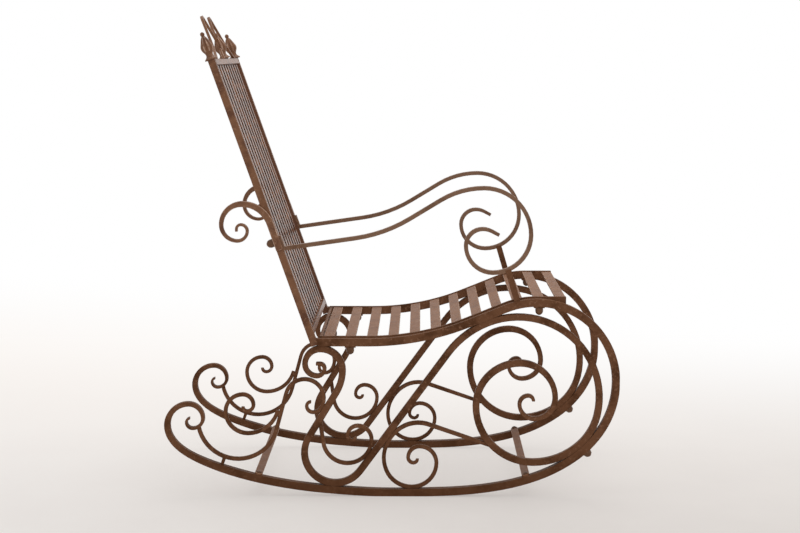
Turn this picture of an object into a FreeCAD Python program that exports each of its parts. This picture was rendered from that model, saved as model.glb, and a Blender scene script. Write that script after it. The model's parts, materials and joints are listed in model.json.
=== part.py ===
import FreeCAD, Part
import math
import os

# A scrolled iron rocking chair for the garden, in millimetres.
# +X is the way the sitter faces, +Y is the sitter's left, +Z is up.
# The right side frame is drawn as routes in the side plane and mirrored for the left one.
# A route is a chain of straight runs and arcs, each one tangent to the last.
# A station is a place on a route: x, z and the heading in degrees.

V = FreeCAD.Vector

# Whole chair
TRACK = 500.0  # between the middle planes of the two side frames
TOUCH = 0.2  # gap left between faces that are welded or bolted together
LEAN = 19.4  # degrees that the back leans from upright
TIGHTEST = 0.97  # bends with less room than this share are drawn tighter
FACET = 0.2  # how far the flats of a thin bent bar may lie off its true curve

# Rocker: one square bar from the tail curl to the foot of the back post
ROCKER_BAR = 16.0
RUNNER_FRONT = (
    (3500, 2), (1075, 3), (792, 6), (512, 9), (362, 15), (242, 20), (206, 35)
)  # radius, degrees
RUNNER_REAR = (
    (1000, 3), (2800, 2), (1192, 6), (880, 8), (540, 5), (300, 6), (150, 12), (86, 18), (58, 30)
)
TAIL_CURL = (49.5, 33.0, 24.0, 14.5, 9.0)  # radius of each quarter turn
TAIL_TIP = 7.0
KNEE_RADIUS = 184.0  # from the front of the rocker over the crest of the seat
SEAT_SLOPE = 22.0
SEAT_SLOPE_RUN = 90.0
SEAT_HOLLOW = 620.0
SEAT_FLAT = 125.0

# Leg scroll: rear ring, crossed legs and the great spiral in one bar
LEG_BAR = 14.0
LEG_TIP = 6.0
LEG_TOP_FROM_POST = 16.0
LEG_RING = (36.0, 27.5, 17.5, 11.0)
LEG_RING_TIP_RUN = 8.0
LEG_SHOULDER = 50.0
LEG_HIP = 100.0
LEG_LOOP = 71.0
LEG_LOOP_TURN = 56.0
LEG_LOOP_FROM_FOOT = 134.0
LEG_RISE = 190.0
LEG_NECK = 208.0
LEG_NECK_ON_SLOPE = 52.0
SPIRAL_SIDE = 132.0
SPIRAL_WELD_ON_RUNNER = 469.0
SPIRAL_SOLE = 158.0
SPIRAL_CURL = (132.0, 100.0, 82.0, 48.0, 34.0, 20.0, 12.0)
SPIRAL_TAPER_QUARTERS = 5

# Rods: the thin scrolls that fill the side frame
ROD_BAR = 8.0
ROD_TIP = 6.0
ROD_TAPER_RUN = 60.0
LONG_ROD_HEADING = -80.0
LONG_ROD_ON_CURL = 0.62  # share of the tail's third quarter turn
LONG_ROD_BOWL = 92.0
PEG_ON_BOWL = 0.39  # share of the bowl where a peg holds it to the runner
LONG_ROD_ARCH = 44.0
LONG_ROD_ON_LEG = 0.40  # share of the straight leg
LONG_ROD_HEEL = 22.0
LONG_ROD_CURL = (14.5, 10.0)
SHORT_ROD_ON_LONG = 0.50  # share of the long rod's straight run
SHORT_ROD_BOWL = 72.0
SHORT_ROD_CURL = (51.0, 40.0, 24.5, 14.5, 10.0)
LOOP_ROD_ON_LEG = 0.60
LOOP_ROD_BOWL = 56.0
LOOP_ROD_ON_RISE = 0.11  # share of the rising leg
LOOP_ROD_CURL = (32.0, 23.5, 10.5, 8.0)
TAIL_ROD_ON_SPIRAL = 0.57  # share of the spiral's second quarter turn
TAIL_ROD_ARCH = 80.0
TAIL_ROD_ON_RISE = 0.29
TAIL_ROD_ON_RUNNER = 51.0
TAIL_ROD_CURL = (57.0, 39.0, 26.5, 12.5, 9.0)

# Back
POST_BAR = 16.0
POST_TOP = 681.0  # along the lean, from the middle of the rocker's end
RAIL_TALL = 15.0
RAIL_DEEP = 12.0
BOTTOM_RAIL_AT = 24.0
BACK_SLATS = 9
BACK_SLAT_WIDE = 25.0
BACK_SLAT_THICK = 3.0

# Crest and finials
HOOP_BAR = 6.0
HOOP_RISE = 111.0
HOOP_APEX_Y = 67.0
HOOP_APEX_RADIUS = 22.0
HOOP_FOOT_OUTER = 205.0
HOOP_FOOT_INNER = 40.0
HOOP_FOOT_HEADING = 18.0
HOOP_FLARE = 170.0
HOOP_FORWARD = 2.5  # of the middle of the rail
HOOP_TILT = 6.5  # degrees that a hoop leans back from the rail
FINIAL_TALL = 65.0
FINIAL_COLLAR = 29.0
FINIAL_COLLAR_TALL = 3.0
FINIAL_NECK = 16.0
FINIAL_BULB = 30.0
FINIAL_BALL = 10.0
FINIAL_LEAVES = 8
FINIAL_FLUTE = 0.86  # radius in the hollow between two leaves, as a share

# Seat
SEAT_RAIL_WIDE = 8.0
SEAT_RAIL_TALL = 20.0
SEAT_NOSE = 68.0  # straight run of the rail in front of the crest
SEAT_BACK_GAP = 12.0
SEAT_SLATS = 12
SLAT_WIDE = 24.0
SLAT_THICK = 5.5
SLAT_SUNK = 1.5
REAR_BAR_WIDE = 8.0
REAR_BAR_TALL = 14.0
EAR_LONG = 25.0
EAR_THICK = 4.0
EAR_SLATS = (1, 10)  # the slats whose ends the ears lie under, counted from 0

# Arms
ARM_THICK = 8.0
ARM_WIDE = 12.0
ARM_AT = 227.6  # along the lean, from the middle of the rocker's end
ARM_HEADING = 8.2
ARM_REST = 174.0
ARM_SWEEP = 330.0
ARM_SWEEP_TURN = 23.0
ARM_RISE = 82.0
ARM_CROWN = 190.0
ARM_CURL = (107.0, 86.0, 62.0, 38.0)
ARM_TIP_RADIUS = 45.0
ARM_TIP_TURN = 28.0
ARM_TIP_RUN = 18.0
ARM_TAB_TALL = 34.0
ARM_TAB_UP = 11.0  # middle of the tab above the middle of the arm
ARM_BOLT_UP = 18.0
ARM_TAB_THICK = 4.0
ARM_POST_BAR = 13.0
ARM_POST_ON_CURL = 0.74  # share of the arm's second quarter turn
ARM_POST_ON_SEAT = 42.0
ARM_SCROLL_THICK = 16.0
ARM_SCROLL_TIP = 6.0
ARM_SCROLL_WIDE = 8.0
ARM_SCROLL_AT = 226.0
ARM_SCROLL_HEADING = 100.0
ARM_SCROLL_RUN = 38.0
ARM_SCROLL_SWEEP = 80.0
ARM_SCROLL_CURL = (49.0, 35.0, 22.5, 14.5, 10.0)

# Stretchers and fasteners
STRETCHER_WIDE = 18.0
STRETCHER_THICK = 5.0
STRETCHER_REAR = -309.0  # along the runner from where it meets the floor
STRETCHER_FRONT = 319.0
SCREW_HEAD = 12.0
SCREW_HEAD_TALL = 4.0
SCREW_SHANK = 6.0
SCREW_BITE = 10.0
BUTTON_HEAD = 20.0
BUTTON_TALL = 13.0
DOME_HEAD = 18.0
DOME_TALL = 16.0
HEAD_SIDES = 10
HOLE_ROOM = 0.3  # room all round a bolt's square neck in its hole


def advance(station, length, radius):
    """The station a run further on; a radius above 0 turns left, below 0 right, 0 is straight."""
    x, z, heading = station
    a = math.radians(heading)
    if radius == 0:
        return (x + length * math.cos(a), z + length * math.sin(a), heading)
    b = a + length / radius
    moved_x = x + radius * (math.sin(b) - math.sin(a))
    moved_z = z - radius * (math.cos(b) - math.cos(a))
    return (moved_x, moved_z, math.degrees(b))


def aside(station, distance):
    """The station moved to the left of its heading."""
    x, z, heading = station
    a = math.radians(heading)
    return (x - distance * math.sin(a), z + distance * math.cos(a), heading)


def facing_back(station):
    return (station[0], station[1], station[2] + 180.0)


def swing(start, goal, hand):
    """Degrees from one heading to another, turning left for a hand above 0 and else right."""
    turn = (goal - start) % 360.0 if hand > 0 else -((start - goal) % 360.0)
    return 0.0 if abs(turn) > 359.9 else turn


class Route:
    def __init__(self, station):
        self.start = station
        self.runs = []

    def line(self, length):
        if length > 1e-6:
            self.runs.append((length, 0.0))
        return self

    def turn(self, radius, degrees):
        if abs(degrees) > 1e-6:
            hand = 1.0 if degrees > 0 else -1.0
            self.runs.append((radius * math.radians(abs(degrees)), hand * radius))
        return self

    def curl(self, radii, hand):
        for radius in radii:
            self.turn(radius, 90.0 * hand)
        return self

    def length(self):
        return sum(run[0] for run in self.runs)

    def at(self, distance):
        station = self.start
        for length, radius in self.runs:
            if distance <= length:
                return advance(station, distance, radius)
            station = advance(station, length, radius)
            distance -= length
        return station

    def end(self):
        return self.at(self.length())

    def backwards(self):
        back = Route(facing_back(self.end()))
        back.runs = [(length, -radius) for length, radius in reversed(self.runs)]
        return back

    def joined(self, other):
        whole = Route(self.start)
        whole.runs = self.runs + other.runs
        return whole

    def between(self, start, stop):
        piece = Route(self.at(start))
        passed = 0.0
        for length, radius in self.runs:
            low = max(start, passed)
            high = min(stop, passed + length)
            if high - low > 1e-6:
                piece.runs.append((high - low, radius))
            passed += length
        return piece

    def beside(self, distance):
        """The parallel route to the left."""
        piece = Route(aside(self.start, distance))
        for length, radius in self.runs:
            share = 1.0 if radius == 0 else (radius - distance) / radius
            piece.runs.append((length * share, 0.0 if radius == 0 else radius - distance))
        return piece

    def link(self, first, goal, last):
        """Bend, straight run and bend to a goal station; the radii carry the hand of each turn."""
        heading = self.end()[2]
        from_x, from_z, _ = aside(self.end(), first)
        to_x, to_z, _ = aside(goal, last)
        span = math.hypot(to_x - from_x, to_z - from_z)
        if abs(last - first) > TIGHTEST * span:
            return self.link(first * TIGHTEST, goal, last * TIGHTEST)
        slant = math.asin((last - first) / span)
        course = math.degrees(math.atan2(to_z - from_z, to_x - from_x) - slant)
        if abs(swing(heading, course, -first)) < 90.0:  # the straight run lies on the other hand
            return self.link(-first, goal, last)
        self.turn(abs(first), swing(heading, course, first))
        self.line(span * math.cos(slant))
        self.turn(abs(last), swing(course, goal[2], last))
        return self

    def into_bend(self, goal, last):
        """Two bends to a goal station, the first one as wide as it needs to be to meet the last."""
        heading = self.end()[2]
        side_x, side_z, _ = aside((0.0, 0.0, heading), 1.0)
        to_x, to_z, _ = aside(goal, last)
        gap_x = to_x - self.end()[0]
        gap_z = to_z - self.end()[1]
        first = (gap_x ** 2 + gap_z ** 2 - last ** 2) / (2.0 * (gap_x * side_x + gap_z * side_z - last))
        across_x = (gap_x - first * side_x) / (last - first)
        across_z = (gap_z - first * side_z) / (last - first)
        course = math.degrees(math.atan2(-across_x, across_z))
        self.turn(abs(first), swing(heading, course, first))
        return self.turn(abs(last), swing(course, goal[2], last))

    def two_bends(self, goal):
        """Two arcs that meet smoothly half way to a goal station."""
        x, z, heading = self.end()
        a = math.radians(heading)
        b = math.radians(goal[2])
        gap_x = goal[0] - x
        gap_z = goal[1] - z
        along = gap_x * (math.cos(a) + math.cos(b)) + gap_z * (math.sin(a) + math.sin(b))
        spread = 2.0 * (1.0 - math.cos(b - a))
        reach = (math.sqrt(along ** 2 + spread * (gap_x ** 2 + gap_z ** 2)) - along) / spread
        middle_x = (x + goal[0] + reach * (math.cos(a) - math.cos(b))) / 2.0
        middle_z = (z + goal[1] + reach * (math.sin(a) - math.sin(b))) / 2.0
        self.bend_to(middle_x, middle_z)
        return self.bend_to(goal[0], goal[1])

    def bend_to(self, x, z):
        """One arc, tangent to the route, that ends at a point."""
        here_x, here_z, heading = self.end()
        chord = math.hypot(x - here_x, z - here_z)
        half = math.atan2(z - here_z, x - here_x) - math.radians(heading)
        half = math.atan2(math.sin(half), math.cos(half))
        return self.turn(chord / (2.0 * math.sin(abs(half))), math.degrees(2.0 * half))


def from_point(station, goal, radius):
    """A route that leaves a point straight and bends into a goal station."""
    to_x, to_z, _ = aside(goal, radius)
    span = math.hypot(to_x - station[0], to_z - station[1])
    if abs(radius) > TIGHTEST * span:
        return from_point(station, goal, radius * TIGHTEST)
    slant = math.asin(radius / span)
    course = math.degrees(math.atan2(to_z - station[1], to_x - station[0]) - slant)
    route = Route((station[0], station[1], course))
    route.line(span * math.cos(slant))
    return route.turn(abs(radius), swing(course, goal[2], radius))


class Bar:
    """Bar stock, drawn out thinner towards either end of its route."""

    def __init__(self, thick, start_tip=None, start_run=0.0, end_tip=None, end_run=0.0):
        self.thick = thick
        self.ends = ((start_tip, start_run), (end_tip, end_run))

    def half(self, distance, total):
        thick = self.thick
        for (tip, run), left in zip(self.ends, (distance, total - distance)):
            if tip is not None and left < run:
                thick = tip + (self.thick - tip) * left / run
        return thick / 2.0


def flats(length, radius, facet):
    """How many parts a run is drawn in: a true bend has two, a faceted one as many flats as it needs."""
    if radius == 0:
        return 1
    if facet == 0:
        return 2
    return math.ceil(length / math.sqrt(8.0 * facet * abs(radius)))


def band(route, bar, wide, middle=-TRACK / 2.0, grow=0.0, facet=0.0):
    """A bar bent along a route in the side plane, wide across the chair."""
    total = route.length()
    edges = []
    caps = []
    for hand in (1.0, -1.0):
        passed = 0.0
        rim = []
        for length, radius in route.runs:
            count = flats(length, radius, facet)
            corners = []
            for n in range(count + 1):
                mark = passed + length * n / count
                x, z, _ = aside(route.at(mark), hand * (bar.half(mark, total) + grow))
                corners.append(V(x, middle - wide / 2.0 - grow, z))
            if radius == 0 or facet:
                edges += [Part.LineSegment(a, b).toShape() for a, b in zip(corners, corners[1:])]
            else:
                edges.append(Part.Arc(*corners).toShape())
            rim += corners
            passed += length
        caps.append((rim[0], rim[-1]))
    for one, other in zip(caps[0], caps[1]):
        edges.append(Part.LineSegment(one, other).toShape())
    wire = Part.Wire(Part.sortEdges(edges)[0])
    return Part.Face(wire).extrude(V(0, wide + 2.0 * grow, 0))


def block(size_x, size_y, size_z, x=0.0, y=0.0, z=0.0):
    """A box centred on a point."""
    corner = V(x - size_x / 2.0, y - size_y / 2.0, z - size_z / 2.0)
    return Part.makeBox(size_x, size_y, size_z, corner)


def laid(shape, station):
    """A shape drawn at the origin along X, laid at a station of the side plane."""
    shape.rotate(V(0, 0, 0), V(0, 1, 0), -station[2])
    shape.translate(V(station[0], 0, station[1]))
    return shape


def fitted(shape, *neighbours):
    """The main piece that is left when the neighbours, already grown, are cut away."""
    for neighbour in neighbours:
        shape = shape.cut(neighbour)
    return max(shape.Solids, key=lambda solid: solid.Volume)


def mirrored(shape):
    return shape.mirror(V(0, 0, 0), V(0, 1, 0))


def flat_face(corners):
    return Part.Face(Part.makePolygon(corners + corners[:1]))


def stacked(rings):
    """A flat-sided solid through rings of points, from the lowest ring to the highest."""
    faces = [flat_face(rings[0]), flat_face(rings[-1])]
    for low, high in zip(rings, rings[1:]):
        for n in range(len(low)):
            faces.append(flat_face([low[n - 1], low[n], high[n], high[n - 1]]))
    solid = Part.makeSolid(Part.Shell(faces))
    return solid if solid.Volume > 0 else solid.reversed()


def round_points(radius, height, sides, hollow=1.0):
    """Points round the Z axis; every second one may lie in a hollow."""
    points = []
    for n in range(sides):
        reach = radius * (hollow if n % 2 else 1.0)
        turn = 2.0 * math.pi * n / sides
        points.append(V(reach * math.cos(turn), reach * math.sin(turn), height))
    return points


def domed(head, tall, skirt, neck, bite):
    """A dome-headed bolt: its head stands up from Z = 0 and its square neck goes down."""
    radius = head / 2.0
    rise = tall - skirt
    levels = ((0.0, 1.0), (skirt, 1.0), (skirt + rise * 0.6, 0.8), (tall, 0.3))
    dome = stacked([round_points(radius * share, height, HEAD_SIDES) for height, share in levels])
    return dome.fuse(block(neck, neck, bite + skirt / 2.0, z=skirt / 4.0 - bite / 2.0)).removeSplitter()


def pointed(shape, outward, place):
    """A shape drawn along +Z, turned to point outward and set at a place."""
    shape.Placement = FreeCAD.Placement(place, FreeCAD.Rotation(V(0, 0, 1), outward))
    return shape


def drill(neck, deep, outward, place):
    """The room for a bolt's neck, from just above its seat down into the work."""
    wide = neck + 2.0 * HOLE_ROOM
    return pointed(block(wide, wide, deep + 1.0, z=(1.0 - deep) / 2.0), outward, place)


def normal(station):
    """The direction to the left of a station, in space."""
    a = math.radians(station[2])
    return V(-math.sin(a), 0, math.cos(a))


def spot(station, y):
    return V(station[0], y, station[1])


SIDE_Y = -TRACK / 2.0
ROCKER_HALF = ROCKER_BAR / 2.0
ROD = Bar(ROD_BAR, end_tip=ROD_TIP, end_run=ROD_TAPER_RUN)
parts = {}

# The rocker's route, from the tip of the tail curl to the back post
rear = Route((0.0, ROCKER_HALF, 180.0))
for radius, degrees in RUNNER_REAR:
    rear.turn(radius, -degrees)
tail_starts = rear.length()
rear.curl(TAIL_CURL, -1)
front = Route((0.0, ROCKER_HALF, 0.0))
for radius, degrees in RUNNER_FRONT:
    front.turn(radius, degrees)
front.turn(KNEE_RADIUS, 90.0)
FOOT = rear.length()
CREST = FOOT + front.length()
front.turn(KNEE_RADIUS, SEAT_SLOPE)
SLOPE = FOOT + front.length()
front.line(SEAT_SLOPE_RUN)
front.turn(SEAT_HOLLOW, -SEAT_SLOPE)
front.line(SEAT_FLAT)
rocker = rear.backwards().joined(front)
ROCKER_END = rocker.length()
rocker_bar = Bar(ROCKER_BAR, start_tip=TAIL_TIP, start_run=rear.length() - tail_starts)
rocker_room = band(rocker, rocker_bar, ROCKER_BAR, grow=TOUCH)
heel = rocker.end()


def on_rocker(distance, thick):
    """A station for a bar that lies along the inner side of the rocker's curve."""
    return aside(rocker.at(distance), ROCKER_HALF + TOUCH + thick / 2.0)


# The leg scroll, from the rear ring's tip to the eye of the great spiral
leg_top = on_rocker(ROCKER_END - LEG_TOP_FROM_POST, LEG_BAR)
ring = Route(leg_top).curl(LEG_RING, 1).line(LEG_RING_TIP_RUN)
leg = ring.backwards()
leg.turn(LEG_SHOULDER, -90.0)
leg.link(-LEG_HIP, on_rocker(FOOT - LEG_LOOP_FROM_FOOT, LEG_BAR), LEG_LOOP)
DOWN_STOP = leg.length() - leg.runs[-1][0]
DOWN_START = DOWN_STOP - leg.runs[-2][0]
leg.turn(LEG_LOOP, LEG_LOOP_TURN)
leg.link(LEG_RISE, facing_back(on_rocker(SLOPE + LEG_NECK_ON_SLOPE, LEG_BAR)), -LEG_NECK)
UP_STOP = leg.length() - leg.runs[-1][0]
UP_START = UP_STOP - leg.runs[-2][0]
weld = facing_back(on_rocker(FOOT + SPIRAL_WELD_ON_RUNNER, LEG_BAR))
leg.into_bend(weld, -SPIRAL_SIDE)
leg.turn(SPIRAL_SOLE, swing(weld[2], 180.0, -1))
SOLE = leg.length()
leg.curl(SPIRAL_CURL, -1)
taper = sum(SPIRAL_CURL[-SPIRAL_TAPER_QUARTERS:]) * math.pi / 2.0
leg_bar = Bar(LEG_BAR, LEG_TIP, ring.length(), LEG_TIP, taper)
leg_room = band(leg, leg_bar, LEG_BAR, grow=TOUCH, facet=FACET)


def on_leg(start, stop, share, side):
    """A station for a rod that lies along a straight leg, on its left for a side of 1."""
    station = leg.at(start + (stop - start) * share)
    return aside(station, side * (LEG_BAR / 2.0 + TOUCH + ROD_BAR / 2.0))


# The long rod swings from the tail curl down, up and over to the straight leg
curl_start = FOOT - tail_starts - sum(TAIL_CURL[:2]) * math.pi / 2.0
curl_spot = rocker.at(curl_start - TAIL_CURL[2] * math.pi / 2.0 * LONG_ROD_ON_CURL)
long_rod = Route((curl_spot[0], curl_spot[1], LONG_ROD_HEADING))
long_end = on_leg(DOWN_START, DOWN_STOP, LONG_ROD_ON_LEG, -1)
long_rod.link(LONG_ROD_BOWL, long_end, -LONG_ROD_ARCH)
LONG_STOP = long_rod.length() - long_rod.runs[-1][0]
LONG_START = LONG_STOP - long_rod.runs[-2][0]
long_rod.turn(LONG_ROD_HEEL, swing(long_end[2], 180.0, -1))
long_rod.curl(LONG_ROD_CURL, -1)

peg_top = long_rod.at(long_rod.runs[0][0] * PEG_ON_BOWL)
peg = Route((peg_top[0], peg_top[1], peg_top[2] - 90.0)).line(ROD_BAR * 3.0)

# The short rod hangs in the long rod's bowl
short_spot = long_rod.at(LONG_START + (LONG_STOP - LONG_START) * SHORT_ROD_ON_LONG)
short_start = facing_back(aside(short_spot, ROD_BAR + TOUCH))
short_rod = Route(short_start).turn(SHORT_ROD_BOWL, swing(short_start[2], 180.0, -1))
short_rod.curl(SHORT_ROD_CURL, -1)

# The loop rod lies in the crossed legs
loop_spot = leg.at(DOWN_START + (DOWN_STOP - DOWN_START) * LOOP_ROD_ON_LEG)
loop_touch = on_leg(UP_START, UP_STOP, LOOP_ROD_ON_RISE, 1)
loop_rod = from_point(loop_spot, loop_touch, LOOP_ROD_BOWL)
loop_rod.turn(LOOP_ROD_BOWL, swing(loop_touch[2], 90.0, 1))
loop_rod.curl(LOOP_ROD_CURL, 1)

# The tail rod runs from the great spiral over the rising leg down to the runner
spiral_quarter = SPIRAL_CURL[0] * math.pi / 2.0
tail_spot = leg.at(SOLE + spiral_quarter * TAIL_ROD_ON_SPIRAL)
tail_touch = facing_back(on_leg(UP_START, UP_STOP, TAIL_ROD_ON_RISE, -1))
tail_rod = from_point(tail_spot, tail_touch, TAIL_ROD_ARCH)
tail_rod.two_bends(on_rocker(FOOT + TAIL_ROD_ON_RUNNER, ROD_BAR))
tail_rod.turn(TAIL_ROD_CURL[0], swing(tail_rod.end()[2], 90.0, 1))
tail_rod.curl(TAIL_ROD_CURL[1:], 1)

# The arm rests on the front of the back post
lean = math.radians(LEAN)


def on_back(along, forward):
    """A point of the leaning back, along the post and forward of its middle."""
    x = heel[0] - along * math.sin(lean) + forward * math.cos(lean)
    z = heel[1] + along * math.cos(lean) + forward * math.sin(lean)
    return (x, z)


def leaned(shape):
    """A piece drawn upright about the foot of the back posts, set in its lean."""
    shape.rotate(V(0, 0, 0), V(0, 1, 0), -LEAN)
    shape.translate(V(heel[0], 0, heel[1]))
    return shape


arm = Route(on_back(ARM_AT, 0.0) + (ARM_HEADING,))
arm.line(ARM_REST).turn(ARM_SWEEP, ARM_SWEEP_TURN).line(ARM_RISE)
arm.turn(ARM_CROWN, -ARM_HEADING - ARM_SWEEP_TURN)
ARM_TOP = arm.length()
arm.curl(ARM_CURL, -1).turn(ARM_TIP_RADIUS, -ARM_TIP_TURN).line(ARM_TIP_RUN)
arm_scroll = Route(on_back(ARM_SCROLL_AT, 0.0) + (ARM_SCROLL_HEADING,)).line(ARM_SCROLL_RUN)
arm_scroll.turn(ARM_SCROLL_SWEEP, 180.0 - ARM_SCROLL_HEADING).curl(ARM_SCROLL_CURL, 1)
prop_top = arm.at(ARM_TOP + (ARM_CURL[0] + ARM_CURL[1] * ARM_POST_ON_CURL) * math.pi / 2.0)
prop_foot = rocker.at(CREST + ARM_POST_ON_SEAT)
prop_heading = math.degrees(math.atan2(prop_foot[1] - prop_top[1], prop_foot[0] - prop_top[0]))
prop = Route((prop_top[0], prop_top[1], prop_heading))
prop.line(math.hypot(prop_foot[0] - prop_top[0], prop_foot[1] - prop_top[1]))

# Side frame solids
post_room = leaned(block(POST_BAR + 2 * TOUCH, POST_BAR + 2 * TOUCH, ROCKER_BAR * 4.0, y=SIDE_Y))
rocker_solid = fitted(band(rocker, rocker_bar, ROCKER_BAR), post_room)
leg_solid = band(leg, leg_bar, LEG_BAR, facet=FACET)
long_solid = band(long_rod, ROD, ROD_BAR, facet=FACET)
side = {
    "rear_long_scroll": fitted(long_solid.fuse(band(peg, ROD, ROD_BAR)), rocker_room, leg_room),
    "rear_short_scroll": band(short_rod, ROD, ROD_BAR, facet=FACET),
    "loop_scroll": fitted(band(loop_rod, ROD, ROD_BAR, facet=FACET), leg_room),
    "tail_scroll": fitted(band(tail_rod, ROD, ROD_BAR, facet=FACET), leg_room),
}

# Arm with the tab that is bolted to the post
arm_bar = Bar(ARM_THICK, end_tip=ROD_TIP, end_run=ROD_TAPER_RUN)
arm_body = band(arm, arm_bar, ARM_WIDE, facet=FACET)
tab_middle = POST_BAR / 2.0 + TOUCH + ARM_TAB_THICK / 2.0
tab = leaned(block(ARM_TAB_THICK, POST_BAR, ARM_TAB_TALL, tab_middle, SIDE_Y, ARM_AT + ARM_TAB_UP))
behind = leaned(block(100.0, 100.0, 100.0, tab_middle - 50.0, SIDE_Y, ARM_AT))
arm_solid = fitted(arm_body, behind).fuse(tab).removeSplitter()
arm_room = band(arm, arm_bar, ARM_WIDE, grow=TOUCH, facet=FACET)
side["arm_post"] = fitted(band(prop, Bar(ARM_POST_BAR), ARM_POST_BAR), arm_room, rocker_room)
scroll_y = SIDE_Y - POST_BAR / 2.0 - TOUCH - ARM_SCROLL_WIDE / 2.0
scroll_bar = Bar(ARM_SCROLL_THICK, end_tip=ARM_SCROLL_TIP, end_run=arm_scroll.length())
side["arm_scroll"] = band(arm_scroll, scroll_bar, ARM_SCROLL_WIDE, scroll_y, facet=FACET)

# Back posts, rails and slats, drawn upright and then leaned
post_tall = POST_TOP + ROCKER_HALF
post_solid = block(POST_BAR, POST_BAR, post_tall, y=SIDE_Y, z=post_tall / 2.0 - ROCKER_HALF)
rail_long = TRACK - POST_BAR - 2.0 * TOUCH
rail_x = (POST_BAR - RAIL_DEEP) / 2.0
top_rail_z = POST_TOP - RAIL_TALL / 2.0
bottom_rail_z = BOTTOM_RAIL_AT
parts["back_top_rail"] = leaned(block(RAIL_DEEP, rail_long, RAIL_TALL, rail_x, 0.0, top_rail_z))
parts["back_bottom_rail"] = leaned(block(RAIL_DEEP, rail_long, RAIL_TALL, rail_x, 0.0, bottom_rail_z))
slat_tall = top_rail_z - bottom_rail_z - RAIL_TALL - 2.0 * TOUCH
slat_z = (top_rail_z + bottom_rail_z) / 2.0
slat_pitch = (TRACK - POST_BAR - BACK_SLAT_WIDE * BACK_SLATS) / (BACK_SLATS + 1.0) + BACK_SLAT_WIDE
for n in range(BACK_SLATS):
    y = (n - (BACK_SLATS - 1) / 2.0) * slat_pitch
    slat = block(BACK_SLAT_THICK, BACK_SLAT_WIDE, slat_tall, rail_x, y, slat_z)
    parts["back_slat_%d" % (n + 1)] = leaned(slat)

# Bud finials on both posts and on the middle of the top rail
leaf = FINIAL_BULB / 2.0
ball = FINIAL_BALL / 2.0
BUD_RINGS = (
    (0.0, FINIAL_COLLAR / 2.0),
    (FINIAL_COLLAR_TALL, FINIAL_COLLAR / 2.0),
    (FINIAL_TALL * 0.16, FINIAL_NECK / 2.0),
    (FINIAL_TALL * 0.26, FINIAL_NECK * 0.6),
    (FINIAL_TALL * 0.38, leaf * 0.95),
    (FINIAL_TALL * 0.47, leaf),
    (FINIAL_TALL * 0.58, leaf * 0.80),
    (FINIAL_TALL - ball * 2.0, ball * 0.7),
    (FINIAL_TALL - ball * 1.4, ball),
    (FINIAL_TALL - ball * 0.6, ball),
    (FINIAL_TALL, ball * 0.5),
)


def bud(x, y, grow=0.0):
    """A finial with flat-sided leaves, still upright, its collar on the top of a post or rail."""
    sides = 2 * FINIAL_LEAVES
    shape = stacked([round_points(radius + grow, height, sides, FINIAL_FLUTE) for height, radius in BUD_RINGS])
    shape.translate(V(x, y, POST_TOP + TOUCH))
    return shape


side["post_finial"] = leaned(bud(0.0, SIDE_Y))
parts["crest_finial"] = leaned(bud(rail_x, 0.0))

# Crest hoops: drawn in a side plane, then turned to stand across the chair
rail_top = top_rail_z + RAIL_TALL / 2.0
apex = (-HOOP_APEX_Y, rail_top + HOOP_RISE - HOOP_BAR / 2.0, 0.0)
hoop = Route((-HOOP_FOOT_OUTER, top_rail_z, HOOP_FOOT_HEADING)).link(HOOP_FLARE, apex, -HOOP_APEX_RADIUS)
inner = from_point((HOOP_FOOT_INNER, top_rail_z), facing_back(apex), HOOP_APEX_RADIUS)
hoop = hoop.joined(inner.backwards())
bar = band(hoop, Bar(HOOP_BAR), HOOP_BAR, 0.0, facet=FACET)
bar.rotate(V(0, 0, 0), V(0, 0, 1), 90.0)
bar.translate(V(rail_x + HOOP_FORWARD, 0, 0))
bar.rotate(V(rail_x + HOOP_FORWARD, 0, rail_top), V(0, 1, 0), -HOOP_TILT)

# Each hoop is welded to the middle bud; its foot goes on from the bud's other side to the rail
rail_room = block(RAIL_DEEP * 3, TRACK, RAIL_TALL * 2 + 2 * TOUCH, 0.0, 0.0, top_rail_z - RAIL_TALL / 2.0)
weld_room = block(RAIL_DEEP * 6, HOOP_BAR * 2, HOOP_RISE * 2, 0.0, 0.0, rail_top)
pieces = bar.cut(rail_room).cut(weld_room).cut(bud(rail_x, 0.0, TOUCH)).Solids
pieces.sort(key=lambda solid: solid.Volume)
crest_feet = [leaned(pieces[-2])]
parts["crest_hoop_right"] = leaned(pieces[-1])
parts["crest_hoop_left"] = mirrored(parts["crest_hoop_right"])

# Seat: rails on the inner faces of the rockers, with the slats between them
rail_y = SIDE_Y + ROCKER_BAR / 2.0 + TOUCH + SEAT_RAIL_WIDE / 2.0
seat_line = rocker.between(CREST, ROCKER_END - SEAT_BACK_GAP).backwards().line(SEAT_NOSE)
rail_line = seat_line.beside(SEAT_RAIL_TALL / 2.0 - ROCKER_HALF)
side["seat_rail"] = band(rail_line, Bar(SEAT_RAIL_TALL), SEAT_RAIL_WIDE, rail_y)
slat_line = seat_line.beside(SEAT_RAIL_TALL - ROCKER_HALF - SLAT_SUNK - SLAT_THICK / 2.0)
slat_long = -2.0 * (rail_y + SEAT_RAIL_WIDE / 2.0 + TOUCH)
bar_line = seat_line.beside(SEAT_RAIL_TALL - ROCKER_HALF - SLAT_SUNK - REAR_BAR_TALL / 2.0)
rear_bar = block(REAR_BAR_WIDE, slat_long, REAR_BAR_TALL)
parts["seat_rear_bar"] = laid(rear_bar, bar_line.at(REAR_BAR_WIDE / 2.0))
first_slat = REAR_BAR_WIDE + SLAT_WIDE * 0.6
seat_pitch = (slat_line.length() - first_slat - SLAT_WIDE / 2.0) / (SEAT_SLATS - 1.0)
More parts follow.
